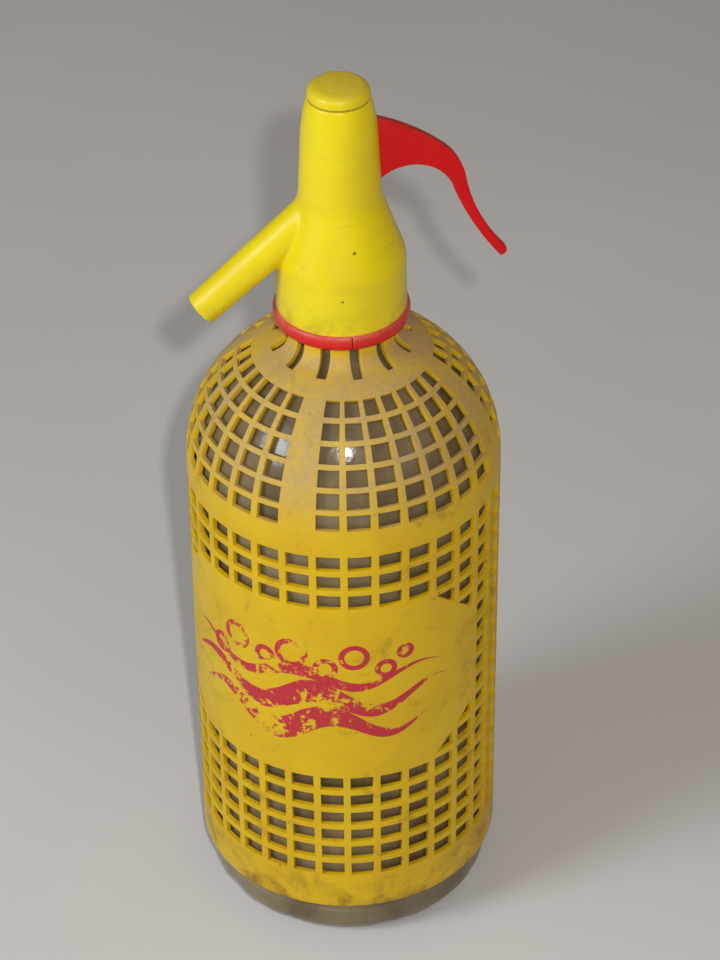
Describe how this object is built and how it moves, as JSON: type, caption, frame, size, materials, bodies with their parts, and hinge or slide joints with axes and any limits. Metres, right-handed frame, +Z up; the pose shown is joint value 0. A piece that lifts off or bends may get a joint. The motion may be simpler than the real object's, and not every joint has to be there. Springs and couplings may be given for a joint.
{
  "type": "soda siphon",
  "caption": "Glass soda siphon in a plastic mesh cover, with a screwed-on head, a slanted spout and a sprung lever valve.",
  "frame": {"origin": "middle of the bottle's underside, on the surface it stands on", "axes": "+Z up along the bottle's axis, +X towards the lever, -X towards the spout"},
  "size_m": [0.1102, 0.108, 0.333],
  "materials": {
    "bottle_glass": "thick moulded glass, greyish brown",
    "cover_plastic": "ochre yellow plastic, worn and dusty",
    "head_plastic": "bright yellow plastic, lightly worn",
    "red_plastic": "saturated red plastic, lightly worn",
    "seal_rubber": "soft black rubber",
    "inner_plastic": "off-white moulded plastic",
    "tube_plastic": "translucent plastic tube",
    "spring_steel": "stainless steel"
  },
  "bodies": {
    "siphon": {"glass_bottle": "bottle_glass", "mesh_cover": "cover_plastic", "collar_half_front": "red_plastic", "collar_half_back": "red_plastic", "mouth_gasket": "seal_rubber", "seat_insert": "inner_plastic", "seat_washer": "seal_rubber", "tube_bush": "seal_rubber", "dip_tube": "tube_plastic", "head_body": "head_plastic", "stem_packing": "seal_rubber", "guide_bush": "inner_plastic", "valve_spring": "spring_steel", "lever_pin": "spring_steel", "cap_washer": "seal_rubber", "top_cap": "head_plastic"},
    "lever": {"lever": "red_plastic"},
    "valve": {"valve_piston": "inner_plastic", "valve_disc": "seal_rubber", "disc_screw": "spring_steel", "spring_washer": "spring_steel"}
  },
  "joints": [
    {"name": "lever_press", "type": "hinge", "parent": "siphon", "child": "lever", "pos_m": [0.0064, 0, 0.305], "axis": [0, 1, 0], "range_deg": [0, 20], "stiffness_Nm_per_rad": 0.15, "springref_deg": -45.84},
    {"name": "valve_lift", "type": "slide", "parent": "siphon", "child": "valve", "axis": [0, 0, 1], "range_m": [0, 0.0023], "deforming": ["valve_spring"]}
  ],
  "couplings": [
    {"joint": "valve_lift", "follows": "lever_press", "m_per_rad": 0.0064}
  ]
}
